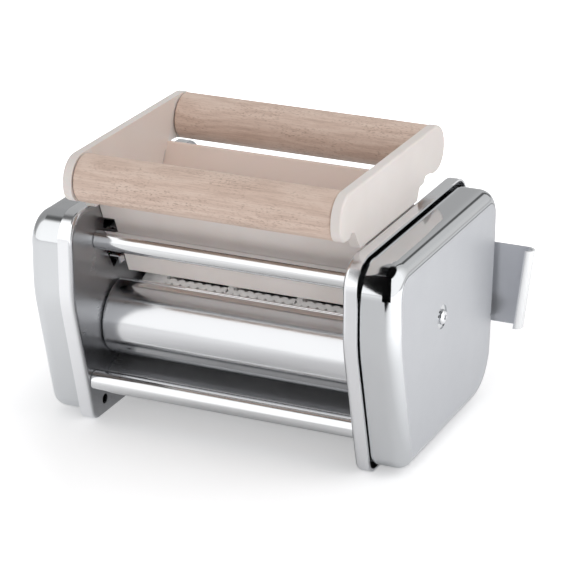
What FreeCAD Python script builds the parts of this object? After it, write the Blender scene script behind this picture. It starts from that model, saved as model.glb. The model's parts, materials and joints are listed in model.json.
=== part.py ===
"""Ravioli attachment for a hand cranked pasta machine, as a parametric assembly.

Frame: +X to the right, +Y to the back, +Z up, millimetres.
Origin: bottom centre of the bounding box, on the surface that it stands on.
"""
import FreeCAD, Part
import math
import os
import re

import Sketcher
from fcgear import fcgear, involute

SIZES = {
    # overall
    "overall_depth": 157.6,
    "sheet_width": 150.0,
    "hopper_length": 139.8,
    # cheek plates: pressed trays with an outward rim
    "plate_height": 121.7,
    "plate_thickness": 1.2,
    "plate_front_setback": 5.3,
    "plate_rim_depth": 8.0,
    "plate_rim_bend": 2.4,
    "plate_top_round": 15.0,
    "plate_knee_height": 75.9,
    "plate_knee_round": 70.0,
    "plate_foot_setback": 19.9,
    "plate_foot_round": 8.0,
    "plate_back_round": 31.0,
    "locating_hole_diameter": 5.6,
    "locating_hole_setback": 11.6,
    "locating_hole_height": 9.2,
    # windows in the plates that the hopper springs reach through: a slot over a triangle
    "slot_tilt": 21.5,
    "slot_width": 14.0,
    "slot_depth": 4.4,
    "slot_reach": 23.1,
    "slot_height": 104.9,
    "window_front_reach": 28.2,
    "window_front_height": 92.9,
    "window_tip_reach": 19.2,
    "window_tip_height": 79.4,
    "window_back_reach": 9.4,
    "window_back_height": 85.9,
    # covers: drawn shells inside the rims
    "cover_reach": 103.0,
    "cover_thickness": 1.0,
    "cover_inset": 2.8,
    "cover_lift": 3.4,
    "cover_edge_round": 8.0,
    "cover_top_round": 16.0,
    "cover_foot_round": 9.5,
    "cover_back_round": 27.0,
    "cover_back_tilt": 5.4,
    "cover_waist_height": 92.0,
    "cover_waist_round": 120.0,
    "cover_screw_height": 73.4,
    "cover_screw_setback": 1.0,
    "cover_screw_head": 8.0,
    "cover_screw_shank": 4.0,
    "cover_dimple_diameter": 13.0,
    "cover_dimple_depth": 0.5,
    "cover_relief_low": 41.6,
    "cover_relief_peak": 47.5,
    "cover_relief_top": 60.0,
    "cover_relief_reach": 14.0,
    "cover_relief_foot": 9.0,
    "cover_relief_depth": 7.4,
    "pillar_diameter": 10.0,
    "pillar_spigot": 6.0,
    # tie rods
    "tie_rod_diameter": 10.4,
    "lower_rod_diameter": 11.0,
    "upper_rod_height": 101.4,
    "upper_rod_reach": 36.7,
    "lower_rod_height": 24.5,
    "lower_rod_reach": 43.6,
    "tie_screw_shank": 5.0,
    "tie_screw_head": 9.0,
    "tie_screw_head_depth": 3.4,
    "tie_screw_grip": 12.0,
    "lower_rod_spigot": 6.0,
    # mould rollers, shafts, gears
    "mould_axis_height": 52.2,
    "gear_module": 1.49,
    "gear_teeth": 20,
    "gear_width": 8.0,
    "gear_place": 80.6,
    "mesh_play": 0.2,
    "nip_gap": 0.3,
    "mould_length": 134.8,
    "mould_collar_diameter": 28.2,
    "mould_collar_width": 5.2,
    "mould_phase": 30.0,
    "pocket_pitch": 40.0,
    "pocket_rows": 3,
    "pockets_around": 3,
    "pocket_depth": 4.4,
    "ridge_width": 4.4,
    "zigzag_around": 18,
    "zigzag_per_row": 7,
    "zigzag_depth": 1.3,
    "shaft_diameter": 10.0,
    "shaft_play": 0.05,
    "bush_barrel": 14.0,
    "bush_flange": 19.0,
    "bush_flange_width": 1.8,
    "bush_length": 5.4,
    "circlip_width": 1.0,
    "circlip_rim": 2.4,
    "circlip_groove": 0.5,
    "end_play": 0.3,
    # crank socket on the left end of the front shaft
    "socket_hub_diameter": 14.0,
    "socket_bore": 8.6,
    "socket_depth": 15.0,
    "socket_slot_width": 2.6,
    "socket_slot_depth": 6.0,
    "socket_seat": 6.0,
    "socket_hole_play": 1.6,
    # curved guards and the exit slide
    "guard_radius": 20.5,
    "guard_drop": 1.0,
    "guard_thickness": 0.8,
    "guard_top_angle": 84.0,
    "guard_low_angle": 246.0,
    "guard_shoulder": 2.0,
    "guard_return": 3.2,
    "slide_radius": 114.0,
    "slide_crest_height": 32.5,
    "slide_crest_setback": 14.4,
    "slide_front_reach": 43.0,
    "slide_back_reach": 22.0,
    "slide_thickness": 0.8,
    # rear hook brackets
    "hook_thickness": 1.2,
    "hook_top_reach": 124.0,
    "hook_low_reach": 118.8,
    "hook_top_height": 84.9,
    "hook_low_height": 39.7,
    "hook_bend": 4.4,
    "hook_roll": 3.6,
    "hook_root": 78.0,
    # hopper
    "hopper_top": 155.1,
    "hopper_beam_depth": 25.4,
    "hopper_cheek_outer": 76.3,
    "hopper_cheek_thickness": 5.3,
    "hopper_cheek_lap": 1.7,
    "hopper_lap_play": 0.5,
    "hopper_panel_tilt": 23.8,
    "hopper_panel_thickness": 2.6,
    "hopper_panel_top": 133.0,
    "hopper_panel_low": 78.0,
    "hopper_panel_reach": 40.1,
    "hopper_lower_half": 68.0,
    "hopper_ledge_height": 111.2,
    "hopper_ledge_thickness": 2.6,
    "hopper_neck_front": 44.7,
    "hopper_neck_back": 31.3,
    "hopper_edge_round": 1.4,
    "snap_slit_width": 0.9,
    "snap_slit_height": 11.4,
    "snap_slit_reach": 49.8,
    # beech rollers
    "beech_diameter": 25.0,
    "beech_spigot": 8.0,
    "beech_spigot_length": 2.4,
    "beech_setback": 12.8,
    "beech_drop": 12.8,
    "beech_side_gap": 0.4,
    # hopper springs
    "spring_thickness": 0.8,
    "spring_width": 6.0,
    "spring_nose": 6.6,
    "spring_reach": 21.1,
    "spring_height": 96.25,
    "spring_spread": 8.15,
}

doc = FreeCAD.newDocument("RavioliAttachment")
sheet = doc.addObject("Spreadsheet::Sheet", "Sizes")
for row, (alias, number) in enumerate(SIZES.items(), start=1):
    sheet.set(f"A{row}", alias)
    sheet.set(f"B{row}", str(number))
    sheet.setAlias(f"B{row}", alias)
doc.recompute()


# ---- formulas: every alias holds an underscore, so a formula is plain text such as "sheet_width / 2"

def formula(text):
    return re.sub(r"\b([a-z]+(?:_[a-z]+)+)\b", r"Sizes.\1", str(text))


def value(text):
    return float(doc.evaluator.evalExpression(formula(text)))


doc.addObject("App::FeaturePython", "evaluator")

FRONT = "(-overall_depth / 2)"
BACK = "(overall_depth / 2)"
NIP = "(-overall_depth / 2 + hopper_length / 2)"
PLATE_IN = "(sheet_width / 2)"
PLATE_OUT = "(sheet_width / 2 + plate_thickness)"
PLATE_FRONT = "(-overall_depth / 2 + plate_front_setback)"
ROLLER_SPACING = "(gear_module * gear_teeth + mesh_play)"
MOULD_RADIUS = "((gear_module * gear_teeth + mesh_play - nip_gap) / 2)"
MOULD_HALF = "(mould_length / 2)"
PILLAR_Y = f"({NIP} + cover_screw_setback)"
SIDES = {"left": -1, "right": 1}
ENDS = {"front": -1, "rear": 1}


# ---- sketch helpers

def origin_plane(body, role):
    return next(feature for feature in body.Origin.OriginFeatures if feature.Role == role)


def new_body(name):
    body = doc.addObject("PartDesign::Body", name)
    body.Label = name
    return body


def place(thing, **base):
    for axis, text in base.items():
        thing.setExpression(f"Placement.Base.{axis}", formula(text))


def new_sketch(body, name, plane, offset="0"):
    sketch = body.newObject("Sketcher::SketchObject", f"{body.Name}_{name}")
    sketch.AttachmentSupport = (origin_plane(body, plane), "")
    sketch.MapMode = "FlatFace"
    sketch.setExpression("AttachmentOffset.Base.z", formula(offset))
    return sketch


def datum(sketch, kind, spot, text, name):
    """Adds one dimension and ties it to its formula."""
    index = sketch.addConstraint(Sketcher.Constraint(kind, *spot, value(text)))
    sketch.renameConstraint(index, name)
    sketch.setExpression(f"Constraints.{name}", formula(text))


def outline(sketch, corners):
    """Closed outline of straight edges joined by tangent arcs: corners are (across, up, round)."""
    start_index = sketch.GeometryCount
    points = [FreeCAD.Vector(value(x), value(y), 0) for x, y, _ in corners]
    rounds = [value(r) for _, _, r in corners]
    count = len(corners)
    starts, ends, centres, turns = [], [], [], []
    for i, corner in enumerate(points):
        into = (corner - points[i - 1]).normalize()
        out = (points[(i + 1) % count] - corner).normalize()
        turn = into.x * out.y - into.y * out.x
        reach = rounds[i] * math.tan(into.getAngle(out) / 2) if rounds[i] else 0
        inward = FreeCAD.Vector(-into.y, into.x, 0) * (1 if turn > 0 else -1)
        starts.append(corner - into * reach)
        ends.append(corner + out * reach)
        centres.append(starts[-1] + inward * rounds[i])
        turns.append(turn)
    for i in range(count):
        sketch.addGeometry(Part.LineSegment(ends[i], starts[(i + 1) % count]), False)
    for i, corner in enumerate(points):
        before = start_index + (i - 1) % count
        after = start_index + i
        tag = f"c{start_index}n{i}"
        if not rounds[i]:
            sketch.addConstraint(Sketcher.Constraint("Coincident", before, 2, after, 1))
            datum(sketch, "DistanceX", (-1, 1, after, 1), corners[i][0], f"{tag}x")
            datum(sketch, "DistanceY", (-1, 1, after, 1), corners[i][1], f"{tag}y")
            continue
        first, last = (starts[i], ends[i]) if turns[i] > 0 else (ends[i], starts[i])
        angles = [math.atan2(p.y - centres[i].y, p.x - centres[i].x) for p in (first, last)]
        circle = Part.Circle(centres[i], FreeCAD.Vector(0, 0, 1), rounds[i])
        arc = sketch.addGeometry(Part.ArcOfCircle(circle, *angles), False)
        near, far = (1, 2) if turns[i] > 0 else (2, 1)
        sketch.addConstraint(Sketcher.Constraint("Tangent", before, 2, arc, near))
        sketch.addConstraint(Sketcher.Constraint("Tangent", arc, far, after, 1))
        apex = sketch.addGeometry(Part.Point(corner), True)
        sketch.addConstraint(Sketcher.Constraint("PointOnObject", apex, 1, before))
        sketch.addConstraint(Sketcher.Constraint("PointOnObject", apex, 1, after))
        datum(sketch, "DistanceX", (-1, 1, apex, 1), corners[i][0], f"{tag}x")
        datum(sketch, "DistanceY", (-1, 1, apex, 1), corners[i][1], f"{tag}y")
        datum(sketch, "Radius", (arc,), corners[i][2], f"{tag}r")
    return sketch


def circle(sketch, x, y, diameter):
    centre = FreeCAD.Vector(value(x), value(y), 0)
    normal = FreeCAD.Vector(0, 0, 1)
    index = sketch.addGeometry(Part.Circle(centre, normal, value(diameter) / 2), False)
    datum(sketch, "DistanceX", (-1, 1, index, 3), x, f"hole{index}x")
    datum(sketch, "DistanceY", (-1, 1, index, 3), y, f"hole{index}y")
    datum(sketch, "Diameter", (index,), diameter, f"hole{index}d")
    return sketch


def sharp(*points):
    return [(x, y, "0") for x, y in points]


# ---- feature helpers

def pad(body, sketch, length, backwards=False, both_ways=False):
    feature = body.newObject("PartDesign::Pad", f"{sketch.Name}_pad")
    feature.Profile = sketch
    feature.setExpression("Length", formula(length))
    feature.Reversed = backwards
    feature.Midplane = both_ways
    sketch.Visibility = False
    return feature


def cut(body, sketch, length, backwards=False, both_ways=False):
    doc.recompute()
    before = body.Shape.Volume
    feature = body.newObject("PartDesign::Pocket", f"{sketch.Name}_cut")
    feature.Profile = sketch
    feature.setExpression("Length", formula(length))
    feature.Reversed = backwards
    feature.Midplane = both_ways
    doc.recompute()
    if body.Shape.Volume > before - 0.01:
        raise RuntimeError(f"{feature.Name} cuts nothing")
    return feature


def turn(body, sketch, angle="360", kind="Revolution", centred=False):
    feature = body.newObject(f"PartDesign::{kind}", f"{sketch.Name}_turn")
    feature.Profile = sketch
    feature.ReferenceAxis = (sketch, ["H_Axis"])
    feature.setExpression("Angle", formula(angle))
    feature.Midplane = centred
    return feature


def repeat(body, feature, rows, around):
    """Repeats a feature in rows along the body's X axis, given as (count, step), and evenly round it."""
    steps = []
    for number, (count, step) in enumerate(rows):
        line = body.newObject("PartDesign::LinearPattern", f"{feature.Name}_row_{number}")
        line.Direction = (origin_plane(body, "X_Axis"), [""])
        line.setExpression("Occurrences", formula(count))
        line.setExpression("Length", formula(f"({count} - 1) * {step}"))
        steps.append(line)
    ring = body.newObject("PartDesign::PolarPattern", f"{feature.Name}_ring")
    ring.Axis = (origin_plane(body, "X_Axis"), [""])
    ring.Angle = 360
    ring.setExpression("Occurrences", formula(around))
    pattern = body.newObject("PartDesign::MultiTransform", f"{feature.Name}_pattern")
    pattern.Originals = [feature]
    pattern.Transformations = steps + [ring]
    body.Tip = pattern
    doc.recompute()


def round_edges(body, name, radius, chosen):
    doc.recompute()
    base = body.Tip
    edges = [f"Edge{i}" for i, edge in enumerate(base.Shape.Edges, start=1) if chosen(edge)]
    feature = body.newObject("PartDesign::Fillet", f"{body.Name}_{name}")
    feature.Base = (base, edges)
    feature.setExpression("Radius", formula(radius))
    return feature


def in_plane_x(place_x, above="-sheet_width"):
    """Chooses the edges that lie in the plane X = place_x and reach above a height."""
    at, level = value(place_x), value(above)

    def chosen(edge):
        box = edge.BoundBox
        return abs(box.XMin - at) < 1e-4 and abs(box.XMax - at) < 1e-4 and box.ZMax > level
    return chosen


def turned(name, corners, **base):
    """A turned piece about its own X axis, from a closed outline of (along, radius, round)."""
    body = new_body(name)
    turn(body, outline(new_sketch(body, "section", "XZ_Plane"), corners))
    place(body, **base)
    return body


def group(name, members):
    """Separate identical pieces that share one node."""
    bundle = doc.addObject("Part::Compound", name)
    bundle.Label = name
    bundle.Links = members
    return bundle


def rod(name, diameter, length, x, y, z, sign=1):
    """A plain cylinder along X that starts at x and runs to the side that sign gives."""
    piece = doc.addObject("Part::Cylinder", name)
    piece.setExpression("Radius", formula(f"({diameter}) / 2"))
    piece.setExpression("Height", formula(length))
    piece.Placement.Rotation = FreeCAD.Rotation(FreeCAD.Vector(0, 1, 0), 90 * sign)
    place(piece, x=x, y=y, z=z)
    return piece


# ---- cheek plates

def plate_corners(inset="0"):
    """Outline of a cheek plate, front edge first, moved inwards by inset."""
    lean = math.degrees(math.atan2(value("plate_foot_setback"), value("plate_knee_height")))
    lean_shift = f"({inset}) * tan({lean / 2!r})"
    foot_shift = f"({inset}) * tan({(90 + lean) / 2!r})"
    return [
        (f"{PLATE_FRONT} + ({inset})", f"plate_height - ({inset})", f"plate_top_round - ({inset})"),
        (f"{PLATE_FRONT} + ({inset})", f"plate_knee_height - {lean_shift}", f"plate_knee_round - ({inset})"),
        (f"{PLATE_FRONT} + plate_foot_setback + {foot_shift}", f"({inset})", f"plate_foot_round - ({inset})"),
        (f"{BACK} - ({inset})", f"({inset})", f"plate_back_round - ({inset})"),
        (f"{BACK} - ({inset})", f"plate_height - ({inset})", f"plate_top_round - ({inset})"),
    ]


def rod_y(way, level):
    return f"({NIP} + {way} * {level}_rod_reach)"


def roller_y(way):
    return f"({NIP} + {way} * {ROLLER_SPACING} / 2)"


def window_outlines():
    """Windows in a cheek plate, at the front and at the back: a tilted slot over a triangle."""
    for way in ENDS.values():
        slot = []
        for across, along in ((-1, -1), (1, -1), (1, 1), (-1, 1)):
            width, depth = f"({across} * slot_width / 2)", f"({along} * slot_depth / 2)"
            slot.append((
                f"{NIP} + {way} * (slot_reach + {width} * cos(slot_tilt) - {depth} * sin(slot_tilt))",
                f"slot_height + {width} * sin(slot_tilt) + {depth} * cos(slot_tilt)", "1"))
        yield slot
        yield [(f"{NIP} + {way} * window_{corner}_reach", f"window_{corner}_height", "1")
               for corner in ("front", "tip", "back")]


def cheek_plate(side, sign):
    body = new_body(f"{side}_cheek_plate")
    flip = sign < 0
    tray = outline(new_sketch(body, "tray", "YZ_Plane", f"{sign} * {PLATE_IN}"), plate_corners())
    pad(body, tray, "plate_rim_depth", flip)
    round_edges(body, "bend", "plate_rim_bend", in_plane_x(f"{sign} * {PLATE_IN}"))
    hollow = new_sketch(body, "hollow", "YZ_Plane", f"{sign} * {PLATE_OUT}")
    cut(body, outline(hollow, plate_corners("plate_thickness")), "plate_rim_depth", not flip)
    holes = new_sketch(body, "holes", "YZ_Plane", f"{sign} * {PLATE_IN}")
    for way in ENDS.values():
        circle(holes, roller_y(way), "mould_axis_height", "bush_barrel")
        circle(holes, rod_y(way, "upper"), "upper_rod_height", "tie_screw_shank + 0.4")
        circle(holes, rod_y(way, "lower"), "lower_rod_height", "lower_rod_spigot")
    circle(holes, PILLAR_Y, "cover_screw_height", "pillar_spigot")
    circle(holes, f"{PLATE_FRONT} + plate_foot_setback + locating_hole_setback", "locating_hole_height",
           "locating_hole_diameter")
    for corners in window_outlines():
        outline(holes, corners)
    cut(body, holes, "plate_rim_depth", not flip)
    return body


# ---- covers

def cover_corners(inset="0"):
    """Outline of a drawn cover, front edge first, moved inwards by inset."""
    lean = math.degrees(math.atan2(value("plate_foot_setback"), value("plate_knee_height")))
    gap = f"(cover_inset + ({inset}))"
    low = f"(cover_lift + ({inset}))"
    slope = math.tan(math.radians(lean))
    foot_y = f"({PLATE_FRONT} + plate_foot_setback + {gap} / cos({lean!r}) - {low} * {slope!r})"
    return [
        (f"{PLATE_FRONT} + {gap}", f"plate_height - {gap}", f"cover_top_round - ({inset})"),
        (f"{PLATE_FRONT} + {gap}", f"plate_knee_height - {gap} * tan({lean / 2!r})",
         f"plate_knee_round - ({inset})"),
        (foot_y, low, f"cover_foot_round - ({inset})"),
        (f"{BACK} - {gap} - cover_back_tilt", low, f"cover_back_round - ({inset})"),
        (f"{BACK} - {gap}", "cover_waist_height", "cover_waist_round"),
        (f"{BACK} - {gap}", f"plate_height - {gap}", f"cover_top_round - ({inset})"),
    ]


def cover(side, sign):
    body = new_body(f"{side}_cover")
    flip = sign < 0
    depth = f"(cover_reach - {PLATE_OUT})"
    shell = outline(new_sketch(body, "shell", "YZ_Plane", f"{sign} * {PLATE_OUT}"), cover_corners())
    pad(body, shell, depth, flip)
    round_edges(body, "edge", "cover_edge_round", in_plane_x(f"{sign} * cover_reach"))
    core = new_body(f"{side}_cover_core")
    inner = outline(new_sketch(core, "core", "YZ_Plane", f"{sign} * ({PLATE_OUT} - 1)"),
                    cover_corners("cover_thickness"))
    pad(core, inner, f"{depth} - cover_thickness + 1", flip)
    round_edges(core, "core_edge", "cover_edge_round - cover_thickness",
                in_plane_x(f"{sign} * (cover_reach - cover_thickness)"))
    doc.recompute()
    hollow = body.newObject("PartDesign::Boolean", f"{side}_cover_hollow")
    hollow.Type = "Cut"
    hollow.Group = [core]
    doc.recompute()
    dimple = new_sketch(body, "dimple", "YZ_Plane", f"{sign} * (cover_reach - cover_dimple_depth)")
    circle(dimple, PILLAR_Y, "cover_screw_height", "cover_dimple_diameter")
    cut(body, dimple, "cover_dimple_depth * 2", not flip)
    hole = new_sketch(body, "screw_hole", "YZ_Plane", f"{sign} * (cover_reach - cover_thickness * 2)")
    circle(hole, PILLAR_Y, "cover_screw_height", "cover_screw_shank + 0.4")
    cut(body, hole, "cover_thickness * 3", not flip)
    relief = new_sketch(body, "relief", "YZ_Plane", f"{sign} * (cover_reach - cover_relief_depth)")
    outline(relief, sharp((f"{BACK} + 1", "cover_relief_low"), (f"{BACK} + 1", "cover_relief_top"),
                          (f"{BACK} - cover_relief_reach", "cover_relief_peak"),
                          (f"{BACK} - cover_relief_foot", "cover_relief_low")))
    cut(body, relief, "cover_relief_depth + 1", not flip)
    if side == "left":
        window = new_sketch(body, "crank_hole", "YZ_Plane", "-(cover_reach - cover_thickness * 2)")
        circle(window, roller_y(-1), "mould_axis_height", "socket_hub_diameter + socket_hole_play * 2")
        cut(body, window, "cover_thickness * 3")
    return body


# ---- rods, screws, pillars

def upper_tie_rod(end, way):
    """Rod tapped at both ends for a screw from outside each plate."""
    half, bore = PLATE_IN, "(tie_screw_shank / 2)"
    turned(f"upper_{end}_tie_rod", [
        (f"-{half}", bore, "0"),
        (f"-{half} + tie_screw_grip", bore, "0"),
        (f"-{half} + tie_screw_grip", "0", "0"),
        (f"{half} - tie_screw_grip", "0", "0"),
        (f"{half} - tie_screw_grip", bore, "0"),
        (half, bore, "0"),
        (half, "tie_rod_diameter / 2", "0.6"),
        (f"-{half}", "tie_rod_diameter / 2", "0.6"),
    ], y=rod_y(way, "upper"), z="upper_rod_height")


def lower_tie_rod(end, way):
    """Rod with spigots riveted flush in the plates, where a cover's wall leaves no room for a head."""
    tip, radius = PLATE_OUT, "(lower_rod_diameter / 2)"
    turned(f"lower_{end}_tie_rod", [
        (f"-{tip}", "0", "0"),
        (tip, "0", "0"),
        (tip, "lower_rod_spigot / 2", "0"),
        (PLATE_IN, "lower_rod_spigot / 2", "0"),
        (PLATE_IN, radius, "0.6"),
        (f"-{PLATE_IN}", radius, "0.6"),
        (f"-{PLATE_IN}", "lower_rod_spigot / 2", "0"),
        (f"-{tip}", "lower_rod_spigot / 2", "0"),
    ], y=rod_y(way, "lower"), z="lower_rod_height")


def tie_rod_screws(side, sign):
    screws = []
    for end, way in ENDS.items():
        spot = (f"{sign} * {PLATE_OUT}", rod_y(way, "upper"), "upper_rod_height")
        name = f"{side}_{end}_tie_screw"
        screw = doc.addObject("Part::Fuse", name)
        screw.Base = rod(f"{name}_head", "tie_screw_head", "tie_screw_head_depth", *spot, sign)
        shank = "plate_thickness + tie_screw_grip - 1"
        screw.Tool = rod(f"{name}_shank", "tie_screw_shank", shank, *spot, -sign)
        screws.append(screw)
    group(f"{side}_tie_rod_screws", screws)


def cover_pillar(side, sign):
    root, tip = f"({sign} * {PLATE_OUT})", f"({sign} * (cover_reach - cover_thickness))"
    bore = "(cover_screw_shank / 2)"
    return turned(f"{side}_cover_pillar", [
        (f"{sign} * {PLATE_IN}", "0", "0"),
        (f"{tip} - {sign} * 12", "0", "0"),
        (f"{tip} - {sign} * 12", bore, "0"),
        (tip, bore, "0"),
        (tip, "pillar_diameter / 2", "0.5"),
        (root, "pillar_diameter / 2", "0"),
        (root, "pillar_spigot / 2", "0"),
        (f"{sign} * {PLATE_IN}", "pillar_spigot / 2", "0"),
    ], y=PILLAR_Y, z="cover_screw_height")


def cover_screw(side, sign):
    seat = f"({sign} * (cover_reach - cover_dimple_depth))"
    rise = "(cover_screw_head * 0.3)"
    return turned(f"{side}_cover_screw", [
        (f"{seat} - {sign} * 9", "0", "0"),
        (f"{seat} + {sign} * {rise}", "0", "0"),
        (f"{seat} + {sign} * {rise}", "cover_screw_head / 2", "cover_screw_head * 0.22"),
        (seat, "cover_screw_head / 2", "0"),
        (seat, "cover_screw_shank / 2", "0"),
        (f"{seat} - {sign} * 9", "cover_screw_shank / 2", "0"),
    ], y=PILLAR_Y, z="cover_screw_height")


# ---- guards and exit slide

def swing(body, text):
    """Turns a body about its own X axis."""
    body.Placement.Rotation = FreeCAD.Rotation(FreeCAD.Vector(1, 0, 0), 1)
    body.setExpression("Placement.Rotation.Angle", formula(text))


def guard(end, way):
    """Curved sheet round one mould roller, with rounded shoulders turned in at both ends."""
    body = new_body(f"{end}_guard")
    half, outer = PLATE_IN, "guard_radius"
    inner = "(guard_radius - guard_thickness)"
    low = "(guard_radius - guard_return)"
    section = outline(new_sketch(body, "section", "XZ_Plane"), [
        (f"-{half}", outer, "guard_shoulder"),
        (f"-{half}", low, "0"),
        (f"-{half} + guard_thickness", low, "0"),
        (f"-{half} + guard_thickness", inner, "guard_shoulder - guard_thickness"),
        (f"{half} - guard_thickness", inner, "guard_shoulder - guard_thickness"),
        (f"{half} - guard_thickness", low, "0"),
        (half, low, "0"),
        (half, outer, "guard_shoulder"),
    ])
    turn(body, section, "guard_low_angle - guard_top_angle").Reversed = way > 0
    swing(body, f"{way} * (90 - guard_top_angle)")
    place(body, y=roller_y(way), z="mould_axis_height - guard_drop")


def exit_slide():
    """Shallow arched sheet under the nip that leads the ravioli out at the front."""
    body = new_body("exit_slide")
    inner = "(slide_radius - slide_thickness)"
    section = outline(new_sketch(body, "section", "XZ_Plane"), sharp(
        (f"-{PLATE_IN}", inner), (PLATE_IN, inner),
        (PLATE_IN, "slide_radius"), (f"-{PLATE_IN}", "slide_radius")))
    back_angle = "asin(slide_back_reach / slide_radius)"
    turn(body, section, f"asin(slide_front_reach / slide_radius) + {back_angle}")
    swing(body, f"-{back_angle}")
    place(body, y=f"{NIP} + slide_crest_setback", z="slide_crest_height - slide_radius")


# ---- rear hook brackets

def hook_corners(sign, reach):
    """Section of a bracket: flat strip whose outer edge is rolled forwards."""
    back = f"({BACK} - plate_thickness)"
    front = f"({back} - hook_thickness)"
    tip = f"({back} - hook_bend - hook_roll - 0.2)"
    end = f"{sign} * ({reach}"
    return [
        (f"{sign} * hook_root", back, "0"),
        (f"{end})", back, "hook_bend"),
        (f"{end})", tip, "hook_roll"),
        (f"{end} - hook_roll - 0.8)", tip, "0"),
        (f"{end} - hook_roll - 0.8)", f"{tip} + hook_thickness", "0"),
        (f"{end} - hook_thickness)", f"{tip} + hook_thickness", "hook_roll - hook_thickness"),
        (f"{end} - hook_thickness)", front, "hook_bend - hook_thickness"),
        (f"{sign} * hook_root", front, "0"),
    ]


def hook_bracket(side, sign):
    body = new_body(f"{side}_hook_bracket")
    low = new_sketch(body, "low", "XY_Plane", "hook_low_height")
    top = new_sketch(body, "top", "XY_Plane", "hook_top_height")
    outline(low, hook_corners(sign, "hook_low_reach"))
    outline(top, hook_corners(sign, "hook_top_reach"))
    loft = body.newObject("PartDesign::AdditiveLoft", f"{side}_hook_loft")
    loft.Profile = low
    loft.Sections = [top]
    loft.Ruled = True


# ---- shafts, bushes, circlips

SHAFT_R = "(shaft_diameter / 2)"
BUSH_END = f"({PLATE_IN} - bush_flange_width + bush_length)"
CLIP_PLACE = f"({PLATE_IN} - bush_flange_width + bush_length + end_play)"
GEAR_END = "(gear_place + gear_width)"


def bush(side, sign, end, way):
    inner, outer = f"({sign} * ({PLATE_IN} - bush_flange_width))", f"({sign} * {BUSH_END})"
    bore = f"({SHAFT_R} + shaft_play)"
    turned(f"{side}_{end}_bush", [
        (inner, bore, "0"),
        (outer, bore, "0"),
        (outer, "bush_barrel / 2", "0.4"),
        (f"{sign} * {PLATE_IN}", "bush_barrel / 2", "0"),
        (f"{sign} * {PLATE_IN}", "bush_flange / 2", "0"),
        (inner, "bush_flange / 2", "0.5"),
    ], y=roller_y(way), z="mould_axis_height")


def clip_places():
    """X of the inner face of each circlip, with the side that it faces."""
    return [(f"(-{CLIP_PLACE})", -1), (CLIP_PLACE, 1), (GEAR_END, 1)]


def shaft(end, way):
    """Steel shaft with circlip grooves: the front one reaches into the crank socket."""
    socket_root = "(cover_reach + 0.4 - socket_depth - 1.4)"
    left_end = f"(-{socket_root})" if end == "front" else f"(-{CLIP_PLACE} - circlip_width - 1.2)"
    right_end = f"({GEAR_END} + circlip_width + 1.2)"
    groove = f"({SHAFT_R} - circlip_groove)"
    corners = [(left_end, "0", "0"), (right_end, "0", "0"), (right_end, SHAFT_R, "0.4")]
    for x, facing in reversed(clip_places()):
        far, near = (f"({x} + circlip_width)", x) if facing > 0 else (x, f"({x} - circlip_width)")
        corners += [(far, SHAFT_R, "0"), (far, groove, "0"), (near, groove, "0"), (near, SHAFT_R, "0")]
    corners.append((left_end, SHAFT_R, "0.4"))
    turned(f"{end}_shaft", corners, y=roller_y(way), z="mould_axis_height")


def circlips(end, way):
    clips = []
    for number, (x, facing) in enumerate(clip_places(), start=1):
        clip = new_body(f"{end}_circlip_{number}")
        seat = f"({SHAFT_R} - circlip_groove)"
        far = f"({x} + {facing} * circlip_width)"
        section = outline(new_sketch(clip, "section", "XZ_Plane"), sharp(
            (x, seat), (far, seat), (far, f"{seat} + circlip_rim"), (x, f"{seat} + circlip_rim")))
        turn(clip, section, "300")
        place(clip, y=roller_y(way), z="mould_axis_height")
        clips.append(clip)
    group(f"{end}_shaft_circlips", clips)


def crank_socket():
    """Hub on the left end of the front shaft, bored and cross slotted for the crank's pin."""
    mouth = "(-(cover_reach + 0.4))"
    root = f"({mouth} + socket_depth)"
    seat = f"({mouth} + socket_depth + 1.4)"
    inner = f"({seat} + socket_seat)"
    body = turned("crank_socket", [
        (mouth, "socket_bore / 2", "0"),
        (root, "socket_bore / 2", "0"),
        (root, "0", "0"),
        (seat, "0", "0"),
        (seat, SHAFT_R, "0"),
        (inner, SHAFT_R, "0"),
        (inner, "socket_hub_diameter / 2", "0.6"),
        (mouth, "socket_hub_diameter / 2", "0.8"),
    ], y=roller_y(-1), z="mould_axis_height")
    slot = new_sketch(body, "slot", "XZ_Plane")
    near, deep = f"{mouth} - 1", f"{mouth} + socket_slot_depth"
    outline(slot, sharp((near, "-socket_slot_width / 2"), (deep, "-socket_slot_width / 2"),
                        (deep, "socket_slot_width / 2"), (near, "socket_slot_width / 2")))
    cut(body, slot, "socket_hub_diameter + 2", both_ways=True)


# ---- mould rollers

FLOOR = f"({MOULD_RADIUS} - pocket_depth)"
POCKET_HALF = "((pocket_pitch - ridge_width) / 2)"


def triangle(x, y, across_x, across_y, rise_x, rise_y):
    """Notch whose base is centred on (x, y)."""
    return sharp((f"{x} - {across_x}", f"{y} - {across_y}"), (f"{x} + {across_x}", f"{y} + {across_y}"),
                 (f"{x} + {rise_x}", f"{y} + {rise_y}"))


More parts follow.
